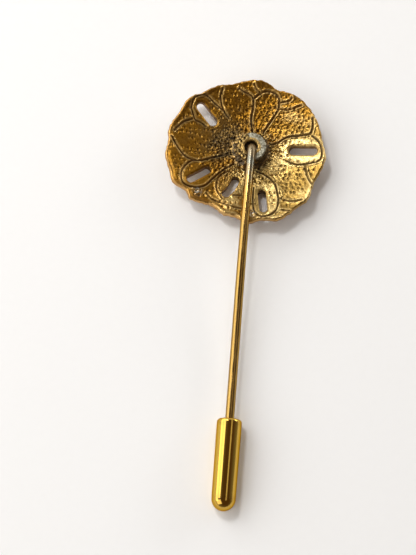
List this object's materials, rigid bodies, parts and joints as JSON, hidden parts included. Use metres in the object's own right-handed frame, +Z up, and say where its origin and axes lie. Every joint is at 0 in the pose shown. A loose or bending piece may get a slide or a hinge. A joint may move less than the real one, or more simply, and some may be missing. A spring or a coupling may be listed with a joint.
{
  "type": "stick pin",
  "caption": "Stick pin for a hat or lapel: cast sand dollar head with slots, bent wire stem soldered to its back, and a bullet clutch that slides off the point.",
  "frame": {"origin": "on the table under the middle of the whole pin, which lies face down on its domed head and its clutch", "axes": "+Z up from the table, towards the back of the head; +Y from the clutch towards the head, along the stem; +X across the head"},
  "size_m": [0.0256, 0.0692, 0.0049],
  "materials": {
    "antique_gold": "antiqued gold plate, satin on the high spots and dark in the recesses",
    "solder": "rough solder under thin gold plate",
    "worn_nickel": "gold plate worn to grey nickel silver",
    "gilded_wire": "polished gold plate, grey near the root",
    "polished_brass": "mirror-polished gold plate",
    "nylon": "moulded, natural"
  },
  "bodies": {
    "pin": {"sand_dollar_head": "antique_gold", "solder_collar": "solder", "pin_pad": "worn_nickel", "root_solder": "solder", "pin_wire": "gilded_wire"},
    "clutch": {"clutch_shell": "polished_brass", "clutch_liner": "nylon"}
  },
  "joints": [
    {"name": "clutch_pull", "type": "slide", "parent": "pin", "child": "clutch", "axis": [0, -1, 0], "range_m": [0, 0.016]}
  ]
}
